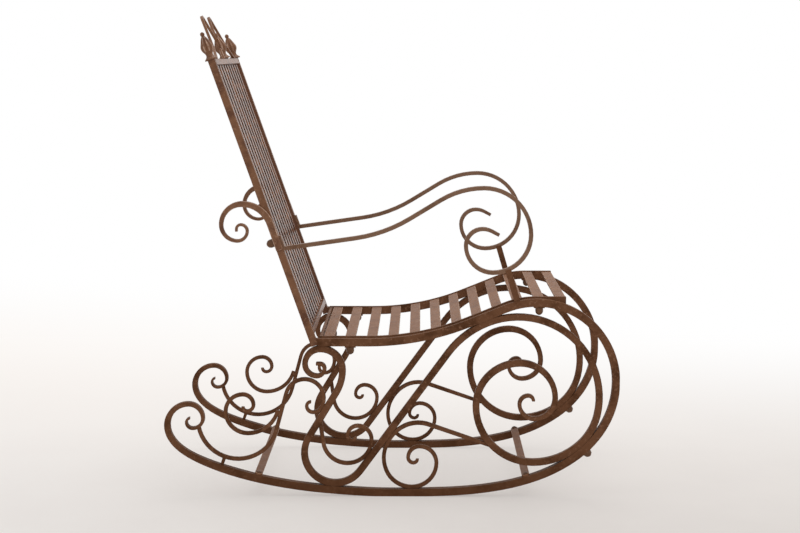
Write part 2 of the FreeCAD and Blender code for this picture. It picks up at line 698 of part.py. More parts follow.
for n in range(SEAT_SLATS):
    slat = block(SLAT_WIDE, slat_long, SLAT_THICK)
    parts["seat_slat_%02d" % (n + 1)] = laid(slat, slat_line.at(first_slat + n * seat_pitch))

# Ears under the seat rails, each held to the rocker by a dome-headed bolt from below
ears = []
seat_bolts = []
ear_line = seat_line.beside(-ROCKER_HALF - TOUCH - EAR_THICK / 2.0)
ear_out = SIDE_Y - ROCKER_HALF + 2.0
ear_in = rail_y + SEAT_RAIL_WIDE / 2.0
for n in EAR_SLATS:
    share = (first_slat + n * seat_pitch) / slat_line.length()
    place = ear_line.at(share * ear_line.length())
    ear = laid(block(EAR_LONG, ear_in - ear_out, EAR_THICK, y=(ear_in + ear_out) / 2.0), place)
    seat_spot = spot(aside(place, -EAR_THICK / 2.0 - TOUCH), SIDE_Y)
    down = normal(place) * -1.0
    hole = drill(SCREW_SHANK, EAR_THICK + SCREW_BITE + TOUCH, down, seat_spot)
    ears.append(fitted(ear, rocker_room, hole))
    rocker_solid = fitted(rocker_solid, hole)
    bite = EAR_THICK + SCREW_BITE
    seat_bolts.append(pointed(domed(DOME_HEAD, DOME_TALL, DOME_TALL / 2.0, SCREW_SHANK, bite), down, seat_spot))

# Bolt through the post into the tab of the arm
tab_spot = on_back(ARM_AT + ARM_BOLT_UP, -POST_BAR / 2.0 - TOUCH)
backward = V(-math.cos(lean), 0, -math.sin(lean))
arm_bite = POST_BAR + 2.0 * TOUCH + ARM_TAB_THICK
hole = drill(SCREW_SHANK, arm_bite + TOUCH, backward, spot(tab_spot, SIDE_Y))
post_solid = fitted(leaned(post_solid), hole)
arm_solid = fitted(arm_solid, hole)
arm_bolt = domed(DOME_HEAD, DOME_TALL, DOME_TALL / 2.0, SCREW_SHANK, arm_bite)
arm_bolts = [pointed(arm_bolt, backward, spot(tab_spot, SIDE_Y))]

# Button-headed bolt from outside the rocker into the great spiral
bolt_seat = aside(rocker.at(FOOT + SPIRAL_WELD_ON_RUNNER), -ROCKER_HALF - TOUCH)
outward = normal(bolt_seat) * -1.0
bite = ROCKER_BAR + 2.0 * TOUCH + SCREW_BITE
hole = drill(SCREW_SHANK, bite, outward, spot(bolt_seat, SIDE_Y))
rocker_solid = fitted(rocker_solid, hole)
leg_solid = fitted(leg_solid, hole)
button = domed(BUTTON_HEAD, BUTTON_TALL, BUTTON_TALL * 0.3, SCREW_SHANK, bite - HOLE_ROOM)
spiral_bolts = [pointed(button, outward, spot(bolt_seat, SIDE_Y))]

# Flat stretchers across the runners, each end held by a domed screw
screws = []
for name, along in (("rear", STRETCHER_REAR), ("front", STRETCHER_FRONT)):
    place = on_rocker(FOOT + along, STRETCHER_THICK)
    straight = TRACK + ROCKER_BAR - STRETCHER_WIDE
    bar = block(STRETCHER_WIDE, straight, STRETCHER_THICK)
    seat_spot = spot(aside(place, STRETCHER_THICK / 2.0 + TOUCH), SIDE_Y)
    hole = drill(SCREW_SHANK, STRETCHER_THICK + TOUCH + SCREW_BITE, normal(place), seat_spot)
    for y in (-straight / 2.0, straight / 2.0):
        base = V(0, y, -STRETCHER_THICK / 2.0)
        bar = bar.fuse(Part.makeCylinder(STRETCHER_WIDE / 2.0, STRETCHER_THICK, base))
    bar = laid(bar.removeSplitter(), place)
    parts["stretcher_" + name] = fitted(bar, hole, mirrored(hole))
    rocker_solid = fitted(rocker_solid, hole)
    bite = STRETCHER_THICK + SCREW_BITE
    screw = domed(SCREW_HEAD, SCREW_HEAD_TALL, SCREW_HEAD_TALL * 0.3, SCREW_SHANK, bite)
    screws.append(pointed(screw, normal(place), seat_spot))

side["rocker"] = rocker_solid
side["leg_scroll"] = leg_solid
side["arm"] = arm_solid
side["back_post"] = post_solid
for name, shape in side.items():
    parts[name + "_right"] = shape
    parts[name + "_left"] = mirrored(shape)
groups = {"seat_ears": ears, "seat_bolts": seat_bolts, "arm_bolts": arm_bolts}
groups["spiral_bolts"] = spiral_bolts
groups["crest_feet"] = crest_feet
groups["stretcher_screws"] = screws
for name, solids in groups.items():
    parts[name] = Part.makeCompound(solids + [mirrored(solid) for solid in solids])

# The origin goes on the floor under the middle of the whole chair
box = Part.makeCompound(list(parts.values())).BoundBox
os.makedirs("parts", exist_ok=True)
for name, shape in parts.items():
    shape.translate(V(-box.Center.x, -box.Center.y, -box.ZMin))
    shape.exportStep("parts/" + name + ".step")
print(len(parts), "pieces,", round(box.XLength), "x", round(box.YLength), "x", round(box.ZLength), "mm")
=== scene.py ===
import json
import math

import bmesh
import bpy
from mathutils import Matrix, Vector


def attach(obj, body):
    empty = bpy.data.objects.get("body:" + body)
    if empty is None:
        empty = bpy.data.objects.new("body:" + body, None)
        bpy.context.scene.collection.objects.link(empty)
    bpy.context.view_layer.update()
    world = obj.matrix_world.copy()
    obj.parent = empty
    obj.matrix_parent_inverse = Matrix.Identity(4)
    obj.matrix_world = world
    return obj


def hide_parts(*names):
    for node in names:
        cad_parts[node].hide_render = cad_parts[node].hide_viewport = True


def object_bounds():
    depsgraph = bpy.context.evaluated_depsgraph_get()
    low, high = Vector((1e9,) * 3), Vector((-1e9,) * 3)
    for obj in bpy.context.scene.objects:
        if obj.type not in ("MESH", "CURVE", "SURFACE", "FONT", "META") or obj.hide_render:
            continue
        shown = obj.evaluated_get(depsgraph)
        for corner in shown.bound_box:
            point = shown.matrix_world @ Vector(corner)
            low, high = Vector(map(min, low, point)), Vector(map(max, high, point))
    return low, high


# A scrolled iron garden rocker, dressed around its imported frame.
# Bars are rounded along their edges and painted. The finials and the arms' rear scrolls are made anew.
# Lengths are in metres. +X is the way the sitter faces, +Y the sitter's left, +Z up.

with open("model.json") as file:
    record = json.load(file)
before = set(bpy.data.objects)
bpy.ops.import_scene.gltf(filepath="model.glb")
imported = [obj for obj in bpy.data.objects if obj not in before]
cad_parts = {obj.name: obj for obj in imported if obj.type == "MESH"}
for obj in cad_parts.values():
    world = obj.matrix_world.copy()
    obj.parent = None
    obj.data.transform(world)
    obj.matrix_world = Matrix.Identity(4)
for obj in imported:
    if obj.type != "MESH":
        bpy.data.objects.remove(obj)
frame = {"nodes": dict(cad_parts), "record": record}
cad_low, cad_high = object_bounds()
nodes = frame["nodes"]
SLOTS = {row["node"]: row["material_slot"] for row in frame["record"]["subparts"]}

# Where the picture was taken from: place, degrees down and to the left, lens and sensor in millimetres
CAMERA_AT = (0.0684, -4.220, 1.0203)
CAMERA_DOWN = 6.981
CAMERA_TURN = 0.690
CAMERA_LENS = 78.98
CAMERA_SENSOR = 36.0
CAMERA_SEES = 60.0

# Rounding of the bars' edges, by the start of a piece's name
ROUND = {
    "rocker": 0.0016,
    "leg_scroll": 0.0015,
    "rear_long_scroll": 0.0014,
    "rear_short_scroll": 0.0014,
    "loop_scroll": 0.0014,
    "tail_scroll": 0.0014,
    "arm": 0.0020,
    "arm_post": 0.0015,
    "arm_scroll": 0.0016,
    "back_post": 0.0016,
    "seat_rail": 0.0012,
    "crest_hoop": 0.0016,
    "crest_feet": 0.0016,
    "back_top_rail": 0.0012,
    "back_bottom_rail": 0.0012,
    "back_slat": 0.0013,
    "seat_slat": 0.0012,
    "seat_rear_bar": 0.0012,
    "stretcher": 0.0012,
    "seat_ears": 0.0008,
    "seat_bolts": 0.0008,
    "arm_bolts": 0.0008,
    "spiral_bolts": 0.0008,
    "stretcher_screws": 0.0005,
}
ROUND_STEPS = 3
CORNER = math.radians(38.0)  # edges turned by more than this are rounded
FLAT_ENOUGH = math.radians(0.4)  # faces turned by less than this are one face
SAME_SPOT = 1e-6
SLIVER = 2e-5
BAR_CREASE = math.radians(50.0)
EVEN_WEIGHT = 60

# What is added on each side of a bar, by its name without left or right, so that it looks as thick
# as in the picture
FULLER = {
    "rocker": 0.0008,
    "leg_scroll": 0.0008,
    "rear_long_scroll": 0.0006,
    "rear_short_scroll": 0.0006,
    "loop_scroll": 0.0006,
    "tail_scroll": 0.0006,
    "arm": 0.0007,
    "arm_post": 0.0005,
    "seat_rail": 0.0004,
}

# A rocker's tail grows slimmer toward its curl: the curl's middle (X, Z), where the slimming is full,
# where it starts, and what comes off each side
TAIL_MIDDLE = (-0.470, 0.168)
TAIL_INNER = 0.052
TAIL_OUTER = 0.150
TAIL_OFF = 0.0017

# The tail scroll's arch stands a little higher in the picture, and its end meets the spiral lower down
ARCH_FOOT = 0.125
ARCH_CROWN = 0.170
ARCH_LIFT = 0.0045
ROD_END = 0.200
ROD_END_SHIFT = Vector((0.0065, 0.0, -0.0100))

# The back leans by this much; what stands on it is set out along these two ways
LEAN = math.radians(19.4)
BACK_FORWARD = Vector((math.cos(LEAN), 0.0, math.sin(LEAN)))
BACK_UPWARD = Vector((-math.sin(LEAN), 0.0, math.cos(LEAN)))

# Rear scroll of an arm: the solid's heading at its low end, then runs along the bar,
# each a bend (radius, degrees) or a straight (None, length), and the taper (run so far, thickness)
SCROLL_START = math.radians(100.0)
SCROLL_FOOT = 1e-4
SCROLL_RUNS = (
    (None, 0.0635), (0.0675, 70.6), (0.0475, 90.0), (0.0365, 90.0),
    (0.0225, 90.0), (0.0145, 90.0), (0.010, 90.0), (None, 0.006),
)
SCROLL_TAPER = (
    (0.0, 0.016), (0.061, 0.016), (0.146, 0.0135), (0.223, 0.0099),
    (0.278, 0.0083), (0.313, 0.0073), (0.370, 0.006),
)
STRAIGHT_STEPS = 4
BEND_STEPS = 10
BEND_STEP = 6.0
JUST_PAST = 1e-6

# Finial: its height, the bulb's radius and its leaves
BUD_TALL = 0.065
BUD_BULB = 0.015
BUD_FOOT = 1e-5
BUD_LEAVES = 8
BUD_LEAF_STEPS = 8
BUD_RIDGE = (3, 4)  # steps of a leaf that form its ridge
BUD_FOLD = 0.17
BUD_SHARPNESS = 0.7
BUD_LEAFY = 0.5  # rings more leafy than this show the ridges
BUD_CREASE = math.radians(60.0)
# From the collar to the ball: share of the height, share of the bulb's radius, how deep the leaves are cut
BUD_PROFILE = (
    (0.0, 0.93, 0), (0.012, 0.96, 0), (0.034, 0.96, 0), (0.05, 0.90, 0), (0.08, 0.74, 0),
    (0.12, 0.60, 0), (0.16, 0.54, 0), (0.20, 0.55, 0.2), (0.25, 0.63, 0.5), (0.30, 0.77, 0.8),
    (0.36, 0.92, 1), (0.42, 0.98, 1), (0.47, 0.99, 1), (0.52, 0.93, 1), (0.58, 0.82, 1),
    (0.65, 0.70, 1), (0.72, 0.58, 0.9), (0.78, 0.46, 0.6), (0.82, 0.34, 0.3), (0.845, 0.24, 0),
    (0.86, 0.26, 0), (0.885, 0.32, 0), (0.92, 0.335, 0), (0.95, 0.31, 0), (0.98, 0.21, 0),
    (0.998, 0.08, 0),
)

# Grains of the finish: scale, detail and, where it isn't the usual one, roughness
BROAD_CLOUDS = (22.0, 3.0)
CLOSE_CLOUDS = (140.0, 4.0)
FINE_SPECKS = (900.0, 2.0)
WEAR_AND_SHADING_PATCHES = (55.0, 5.0, 0.65)
DUST_AND_HIGHLIGHT_FILM = (38.0, 6.0, 0.6)
FLOOR_CLOUDS = (3.0, 5.0)

# Where each effect sets in and where it is full
MIDDLE_SHOWS = (0.30, 0.58)
PALE_SHOWS = (0.52, 0.74)
SPECK_SHOWS = (0.56, 0.70)
GLOSS_SHOWS = (0.3, 0.7)
PATCH_SHOWS = (0.40, 0.66)
FILM_SHOWS = (0.30, 0.72)
FILM_THINNEST = 0.35
FACING_UP = (0.55, 0.98)
FACING_IN = (-0.8, -0.3)
# Painted shade low down: the heights over which it fades out, its strength below them, and how far the broad
# clouds shift it
LOW_SHADE_HEIGHT = (0.06, 0.30)
LOW_SHADE_MOST = 0.8
LOW_SHADE_WAVER = 0.2
CLOSE_RELIEF = 0.6
FINE_RELIEF = 0.4
RELIEF_DEPTH = 0.0006
DUST_AND_HIGHLIGHT_DULLS = 0.3

# Floor: half its width, its finish, its two tones, each clouded between two colours, and where it
# turns white. The darker front tone is a painted shade, and the glow that turns it white also lightens
# the chair's shadow, a painted light
FLOOR_HALF = 14.0
FLOOR_ROUGH = 0.75
FLOOR_SHINE = 0.2
FLOOR_CLOUD_SHOWS = (0.3, 0.7)
FLOOR_REAR = ((238, 233, 229), (241, 237, 233))
FLOOR_FRONT = ((214, 208, 203), (219, 213, 208))
FLOOR_TURN = (-1.1, 0.4)
GLOW = (251, 246, 242)
GLOW_SLANT = 0.5
GLOW_TURN = (0.2, 3.0)
FAR_OFF = (1.8, 5.5)
FADE = (-2.0, 2.0)

# Studio: strength of the white all round, on the chair and as seen, and lamps (name, place, size, power)
WHITE = (1.0, 1.0, 1.0, 1.0)
ROOM_LIGHT = 0.60
ROOM_SEEN = 1.0
LAMP_AIM = Vector((0.0, 0.0, 0.4))
LAMPS = (
    ("overhead", Vector((0.3, 0.2, 3.2)), 2.6, 36.0),
    ("fill", Vector((1.2, -3.6, 1.6)), 1.8, 14.0),
)


def socketed(group, kind, name, in_out, value=None):
    socket = group.interface.new_socket(name=name, in_out=in_out, socket_type=kind)
    if value is not None:
        socket.default_value = value


def node(tree, kind, **settings):
    made = tree.nodes.new(kind)
    for name, value in settings.items():
        setattr(made, name, value)
    return made


def wired(tree, source, target):
    tree.links.new(source, target)


def fed(tree, value, socket):
    """A socket gets a link or a plain value."""
    if isinstance(value, bpy.types.NodeSocket):
        wired(tree, value, socket)
    else:
        socket.default_value = value


def mixed(tree, factor, first, second):
    """A colour mix; each argument is a socket or a plain value."""
    mix = node(tree, "ShaderNodeMix", data_type="RGBA")
    fed(tree, factor, mix.inputs[0])
    fed(tree, first, mix.inputs[6])
    fed(tree, second, mix.inputs[7])
    return mix.outputs[2]


def sums(tree, operation, first, second):
    made = node(tree, "ShaderNodeMath", operation=operation)
    fed(tree, first, made.inputs[0])
    fed(tree, second, made.inputs[1])
    return made.outputs[0]


def ranged(tree, value, low, high, to_low=0.0, to_high=1.0):
    made = node(tree, "ShaderNodeMapRange", interpolation_type="SMOOTHSTEP")
    wired(tree, value, made.inputs[0])
    for index, number in enumerate((low, high, to_low, to_high), start=1):
        made.inputs[index].default_value = number
    return made.outputs[0]


def grain(tree, place, scale, detail, rough=0.55):
    made = node(tree, "ShaderNodeTexNoise")
    wired(tree, place, made.inputs["Vector"])
    made.inputs["Scale"].default_value = scale
    made.inputs["Detail"].default_value = detail
    made.inputs["Roughness"].default_value = rough
    return made.outputs["Fac"]


def own_place(tree):
    return node(tree, "ShaderNodeTexCoord").outputs["Object"]


def split(tree, source):
    """The X, Y and Z of a place or a direction, each its own output."""
    made = node(tree, "ShaderNodeSeparateXYZ")
    wired(tree, source, made.inputs[0])
    return made.outputs


def facing(tree):
    return split(tree, node(tree, "ShaderNodeNewGeometry").outputs["Normal"])


def clouded_paint():
    """Brown paint rubbed on in clouds, with fine specks of an earlier coat, and painted shade low down and on
    faces toward the chair's middle.
    """
    group = bpy.data.node_groups.new("clouded_paint", "ShaderNodeTree")
    for name in ("Deep", "Middle", "Pale"):
        socketed(group, "NodeSocketColor", name, "INPUT")
    socketed(group, "NodeSocketFloat", "Speck", "INPUT", 0.3)
    socketed(group, "NodeSocketFloat", "Inside", "INPUT", 0.0)
    socketed(group, "NodeSocketColor", "Color", "OUTPUT")
    socketed(group, "NodeSocketFloat", "Gloss", "OUTPUT")
    socketed(group, "NodeSocketFloat", "Height", "OUTPUT")
    start = node(group, "NodeGroupInput")
    stop = node(group, "NodeGroupOutput")
    deep = start.outputs["Deep"]
    place = own_place(group)
    broad = grain(group, place, *BROAD_CLOUDS)
    close = grain(group, place, *CLOSE_CLOUDS)
    fine = grain(group, place, *FINE_SPECKS)
    color = mixed(group, ranged(group, broad, *MIDDLE_SHOWS), deep, start.outputs["Middle"])
    color = mixed(group, ranged(group, close, *PALE_SHOWS), color, start.outputs["Pale"])
    speck = sums(group, "MULTIPLY", ranged(group, fine, *SPECK_SHOWS), start.outputs["Speck"])
    color = mixed(group, speck, color, deep)
    # Painted shade: darker toward the floor, where less light reaches
    spot = split(group, place)
    above = sums(group, "ADD", spot["Z"], sums(group, "MULTIPLY", broad, LOW_SHADE_WAVER))
    color = mixed(group, ranged(group, above, *LOW_SHADE_HEIGHT, LOW_SHADE_MOST, 0.0), color, deep)
    # Painted shade: faces toward the sitter, in the chair's middle, are darkened toward the deep brown
    outward = sums(group, "MULTIPLY", facing(group)["Y"], sums(group, "SIGN", spot["Y"], 0.0))
    inward = ranged(group, outward, *FACING_IN, 1.0, 0.0)
    color = mixed(group, sums(group, "MULTIPLY", inward, start.outputs["Inside"]), color, deep)
    wired(group, color, stop.inputs["Color"])
    wired(group, ranged(group, close, *GLOSS_SHOWS), stop.inputs["Gloss"])
    close_relief = sums(group, "MULTIPLY", close, CLOSE_RELIEF)
    fine_relief = sums(group, "MULTIPLY", fine, FINE_RELIEF)
    wired(group, sums(group, "ADD", close_relief, fine_relief), stop.inputs["Height"])
    return group


def edge_wear_and_shading():
    """A second colour along the rounded edges of the bars, in patches: worn paint on some finishes, a painted
    highlight or a painted shade on others.
    """
    group = bpy.data.node_groups.new("edge_wear_and_shading", "ShaderNodeTree")
    socketed(group, "NodeSocketColor", "Color", "INPUT")
    socketed(group, "NodeSocketColor", "WearAndShading", "INPUT")
    socketed(group, "NodeSocketFloat", "Amount", "INPUT", 0.5)
    socketed(group, "NodeSocketColor", "Color", "OUTPUT")
    socketed(group, "NodeSocketFloat", "Edge", "OUTPUT")
    start = node(group, "NodeGroupInput")
    stop = node(group, "NodeGroupOutput")
    edge = node(group, "ShaderNodeAttribute", attribute_name="edge").outputs["Fac"]
    wired(group, edge, stop.inputs["Edge"])
    patches = ranged(group, grain(group, own_place(group), *WEAR_AND_SHADING_PATCHES), *PATCH_SHOWS)
    mask = sums(group, "MULTIPLY", sums(group, "MULTIPLY", edge, patches), start.outputs["Amount"])
    mask = sums(group, "MINIMUM", mask, 1.0)
    wired(group, mixed(group, mask, start.outputs["Color"], start.outputs["WearAndShading"]), stop.inputs["Color"])
    return group


def dust_and_top_highlight():
    """A thin film on what faces up: dust, and on some finishes a painted highlight where the light from above
    falls.
    """
    group = bpy.data.node_groups.new("dust_and_top_highlight", "ShaderNodeTree")
    socketed(group, "NodeSocketColor", "Color", "INPUT")
    socketed(group, "NodeSocketColor", "DustAndHighlight", "INPUT")
    socketed(group, "NodeSocketFloat", "Amount", "INPUT", 0.2)
    socketed(group, "NodeSocketColor", "Color", "OUTPUT")
    socketed(group, "NodeSocketFloat", "Mask", "OUTPUT")
    start = node(group, "NodeGroupInput")
    stop = node(group, "NodeGroupOutput")
    up = ranged(group, facing(group)["Z"], *FACING_UP)
    film = ranged(group, grain(group, own_place(group), *DUST_AND_HIGHLIGHT_FILM), *FILM_SHOWS, FILM_THINNEST, 1.0)
    mask = sums(group, "MULTIPLY", sums(group, "MULTIPLY", up, film), start.outputs["Amount"])
    wired(group, mixed(group, mask, start.outputs["Color"], start.outputs["DustAndHighlight"]), stop.inputs["Color"])
    wired(group, mask, stop.inputs["Mask"])
    return group


CLOUDED = clouded_paint()
EDGE_WEAR_AND_SHADING = edge_wear_and_shading()
DUST_AND_TOP_HIGHLIGHT = dust_and_top_highlight()


def srgb(red, green, blue):
    """A colour as seen on a screen, 0 to 255, in the shader's own terms."""
    values = []
    for part in (red, green, blue):
        part = part / 255.0
        values.append(part / 12.92 if part <= 0.04045 else ((part + 0.055) / 1.055) ** 2.4)
    return (values[0], values[1], values[2], 1.0)


def painted(
    name, deep, middle, pale, wear_and_shading_colour, dust_and_highlight_colour, wear_and_shading_amount=0.5, dust_and_highlight_amount=0.2, speck=0.3,
    rough=(0.36, 0.56), bump=0.10, shine=0.25, edge_dull=0.0, inner_shade=0.0
):
    """A painted finish: clouds of three browns, an edge colour (wear on some finishes, painted highlight or
    shade on others) and a film on top (dust, and a painted highlight on some finishes).
    """
    material = bpy.data.materials.new(name)
    material.use_nodes = True
    tree = material.node_tree
    shader = tree.nodes["Principled BSDF"]
    paint = node(tree, "ShaderNodeGroup", node_tree=CLOUDED)
    browns = (("Deep", deep), ("Middle", middle), ("Pale", pale))
    for socket, value in browns + (("Speck", speck), ("Inside", inner_shade)):
        paint.inputs[socket].default_value = value
    edges = node(tree, "ShaderNodeGroup", node_tree=EDGE_WEAR_AND_SHADING)
    edges.inputs["WearAndShading"].default_value = wear_and_shading_colour
    edges.inputs["Amount"].default_value = wear_and_shading_amount
    film = node(tree, "ShaderNodeGroup", node_tree=DUST_AND_TOP_HIGHLIGHT)
    film.inputs["DustAndHighlight"].default_value = dust_and_highlight_colour
    film.inputs["Amount"].default_value = dust_and_highlight_amount
    wired(tree, paint.outputs["Color"], edges.inputs["Color"])
    wired(tree, edges.outputs["Color"], film.inputs["Color"])
    wired(tree, film.outputs["Color"], shader.inputs["Base Color"])
    gloss = ranged(tree, paint.outputs["Gloss"], 0.0, 1.0, *rough)
    dull = sums(tree, "MULTIPLY", film.outputs["Mask"], DUST_AND_HIGHLIGHT_DULLS)
    dull = sums(tree, "ADD", dull, sums(tree, "MULTIPLY", edges.outputs["Edge"], edge_dull))
    wired(tree, sums(tree, "ADD", gloss, dull), shader.inputs["Roughness"])
    relief = node(tree, "ShaderNodeBump")
    relief.inputs["Strength"].default_value = bump
    relief.inputs["Distance"].default_value = RELIEF_DEPTH
    wired(tree, paint.outputs["Height"], relief.inputs["Height"])
    wired(tree, relief.outputs["Normal"], shader.inputs["Normal"])
    shader.inputs["Specular IOR Level"].default_value = shine
    return material


FRAME_PAINT = painted(
    "frame_paint", deep=srgb(80, 49, 28), middle=srgb(109, 73, 50), pale=srgb(130, 94, 72),
    wear_and_shading_colour=srgb(54, 30, 15), dust_and_highlight_colour=srgb(156, 128, 106),
    wear_and_shading_amount=0.55, dust_and_highlight_amount=0.12, rough=(0.42, 0.56), shine=0.07, edge_dull=0.3
)
# Back posts: lighter than the frame, with a strong painted shade on their faces toward the chair's middle
UPPER_PAINT = painted(
    "upper_paint", deep=srgb(92, 57, 38), middle=srgb(124, 85, 59), pale=srgb(140, 101, 75),
    wear_and_shading_colour=srgb(84, 52, 33), dust_and_highlight_colour=srgb(178, 152, 132),
    wear_and_shading_amount=0.45, dust_and_highlight_amount=0.22, speck=0.15, rough=(0.42, 0.56), shine=0.20, edge_dull=0.2, inner_shade=0.9
)
# Arm scrolls, crest and finials: the pale edge colour paints highlights along the edges and on the finials'
# leaf ridges, the heavier top film adds a painted highlight on what faces up, and faces toward the middle get
# a little painted shade
CREST_PAINT = painted(
    "crest_paint", deep=srgb(92, 57, 38), middle=srgb(124, 85, 59), pale=srgb(142, 104, 79),
    wear_and_shading_colour=srgb(196, 166, 146), dust_and_highlight_colour=srgb(184, 158, 140),
    wear_and_shading_amount=0.9, dust_and_highlight_amount=0.30, speck=0.15, rough=(0.38, 0.50), inner_shade=0.2
)
# The arms: a lighter copy of the frame paint, a painted highlight from the light above
ARM_LIT_PAINT = painted(
    "arm_paint", deep=srgb(104, 72, 50), middle=srgb(123, 91, 69), pale=srgb(137, 105, 83),
    wear_and_shading_colour=srgb(164, 132, 108), dust_and_highlight_colour=srgb(160, 134, 114),
    dust_and_highlight_amount=0.12, rough=(0.36, 0.50)
)
SEAT_PAINT = painted(
    "seat_slat_paint", deep=srgb(108, 68, 42), middle=srgb(127, 84, 55), pale=srgb(141, 99, 70),
    wear_and_shading_colour=srgb(192, 158, 132), dust_and_highlight_colour=srgb(164, 134, 110),
    wear_and_shading_amount=1.0, dust_and_highlight_amount=0.14, speck=0.2, rough=(0.48, 0.60)
)
# The back's flat bars: the near-black edge colour, laid on almost all along their narrow edges, is a painted
# shade for the shadow between the slats
BACK_PAINT = painted(
    "back_slat_paint", deep=srgb(92, 52, 26), middle=srgb(118, 72, 40), pale=srgb(132, 86, 54),
    wear_and_shading_colour=srgb(44, 23, 12), dust_and_highlight_colour=srgb(150, 124, 104),
    wear_and_shading_amount=3.0, dust_and_highlight_amount=0.05, speck=0.2, rough=(0.27, 0.33), bump=0.03, shine=0.22, edge_dull=0.4
)
BOLT_PAINT = painted(
    "bolt_paint", deep=srgb(82, 52, 32), middle=srgb(102, 70, 46), pale=srgb(118, 86, 62),
    wear_and_shading_colour=srgb(146, 112, 88), dust_and_highlight_colour=srgb(140, 116, 100),
    dust_and_highlight_amount=0.10, rough=(0.28, 0.42)
)


def finish_of(name):
    """The back's flat bars are glossier, the arms' lighter paint is a painted highlight, and what stands high
    is lighter.
    """
    if name.startswith(("back_slat", "back_top_rail", "back_bottom_rail")):
        return BACK_PAINT
    if name.startswith(("seat_slat", "stretcher_front", "stretcher_rear")):
        return SEAT_PAINT
    if name.startswith(("arm_left", "arm_right")):
        return ARM_LIT_PAINT
    if name.startswith("back_post"):
        return UPPER_PAINT
    if name.startswith(("arm_scroll", "crest", "post_finial")):
        return CREST_PAINT
    if SLOTS[name] == "bolt_paint":
        return BOLT_PAINT
    return FRAME_PAINT


def shown(name, shape, crease, replaced):
    """A finished shape as a piece of the chair, standing for one of the frame's nodes."""
    mesh = bpy.data.meshes.new(name)
    shape.to_mesh(mesh)
    shape.free()
    mesh.set_sharp_from_angle(angle=crease)
    mesh.materials.append(finish_of(replaced))
    piece = bpy.data.objects.new(name, mesh)
    bpy.context.scene.collection.objects.link(piece)
    even = piece.modifiers.new("even_shading", "WEIGHTED_NORMAL")
    even.keep_sharp = True
    even.weight = EVEN_WEIGHT
    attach(piece, "root")
    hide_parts(replaced)


def softened(name):
    """A bar of the frame, made as full as in the picture and rounded along its edges."""
    shape = bmesh.new()
    shape.from_mesh(nodes[name].data)
    bmesh.ops.remove_doubles(shape, verts=shape.verts, dist=SAME_SPOT)
    bmesh.ops.dissolve_limit(
        shape, angle_limit=FLAT_ENOUGH, use_dissolve_boundaries=False,
        verts=shape.verts, edges=shape.edges, delimit=set()
    )
    kind = name.rsplit("_", 1)[0]
    if kind == "tail_scroll":
        drooped(shape)
    thickened(shape, FULLER.get(kind, 0.0), kind == "rocker")
    rounded_off(name, shape)


def drooped(shape):
    """The tail scroll with its arch lifted and its straight end let down along the spiral."""
    for vertex in shape.verts:
        if vertex.co.x > ROD_END:
            vertex.co += ROD_END_SHIFT
        elif vertex.co.z > ARCH_FOOT:
            vertex.co.z += ARCH_LIFT * min((vertex.co.z - ARCH_FOOT) / (ARCH_CROWN - ARCH_FOOT), 1.0)


def thickened(shape, extra, has_tail):
    """Each face moved out a little, but not past the chair's own box; a rocker's tail moves in instead."""
    shape.normal_update()
    moved = []
    for vertex in shape.verts:
        out = extra
        if has_tail:
            reach = math.hypot(vertex.co.x - TAIL_MIDDLE[0], vertex.co.z - TAIL_MIDDLE[1])
            share = min(max((TAIL_OUTER - reach) / (TAIL_OUTER - TAIL_INNER), 0.0), 1.0)
            out = extra - TAIL_OFF * share
        moved.append(vertex.co + vertex.normal * (vertex.calc_shell_factor() * out))
    for vertex, place in zip(shape.verts, moved):
        vertex.co = [min(max(value, low), high) for value, low, high in zip(place, cad_low, cad_high)]


def rounded_off(name, shape):
    """A bar with rounded edges, marked there for the edge colour of its paint: wear on some finishes, painted
    highlight or shade on others.
    """
    edge_mark = shape.faces.layers.float.new("edge")
    corners = [
        edge for edge in shape.edges
        if len(edge.link_faces) == 2 and edge.calc_face_angle(0.0) > CORNER
    ]
    rounded = bmesh.ops.bevel(
        shape, geom=corners, offset=rounding_of(name), offset_type="OFFSET",
        segments=ROUND_STEPS, profile=0.5, affect="EDGES", clamp_overlap=True
    )
    for face in rounded["faces"]:
        face[edge_mark] = 1.0
    bmesh.ops.dissolve_degenerate(shape, dist=SLIVER, edges=shape.edges)
    for face in shape.faces:
        face.smooth = True
    shown(name + "_bar", shape, BAR_CREASE, name)


def rounding_of(name):
    """The rounding whose key fits most of the piece's name."""
    return ROUND[max((key for key in ROUND if name.startswith(key)), key=len)]


def corners_of(name):
    return [vertex.co.copy() for vertex in nodes[name].data.vertices]


def low_end(corners, upward, band):
    """The middle of the corners that lie lowest along a direction."""
    lowest = min(corner.dot(upward) for corner in corners)
    foot = [corner for corner in corners if corner.dot(upward) < lowest + band]
    return sum(foot, Vector()) / len(foot)


def skinned(shape, rings):
    """Faces from each ring to the next, listed with ring and place on it, and a cap on each end."""
    walls = []
    for level, (lower, upper) in enumerate(zip(rings, rings[1:])):
        around = len(lower)
        for n in range(around):
            m = (n + 1) % around
            walls.append((level, n, shape.faces.new((lower[n], lower[m], upper[m], upper[n]))))
    shape.faces.new(list(reversed(rings[0])))
    shape.faces.new(rings[-1])
    return walls


def walked(at, heading, runs):
    """Points, headings and lengths along straight runs and left bends."""
    path = [(at, heading, 0.0)]
    for radius, amount in runs:
        steps = STRAIGHT_STEPS if radius is None else max(BEND_STEPS, int(amount / BEND_STEP))
        for _ in range(steps):
            at, heading, far = path[-1]
            half = 0.0 if radius is None else amount / steps / 2.0
            piece = amount / steps if radius is None else 2.0 * radius * math.sin(math.radians(half))
            course = math.radians(heading + half)
            at = at + Vector((piece * math.cos(course), 0.0, piece * math.sin(course)))
            path.append((at, heading + 2.0 * half, far + piece))
    return path


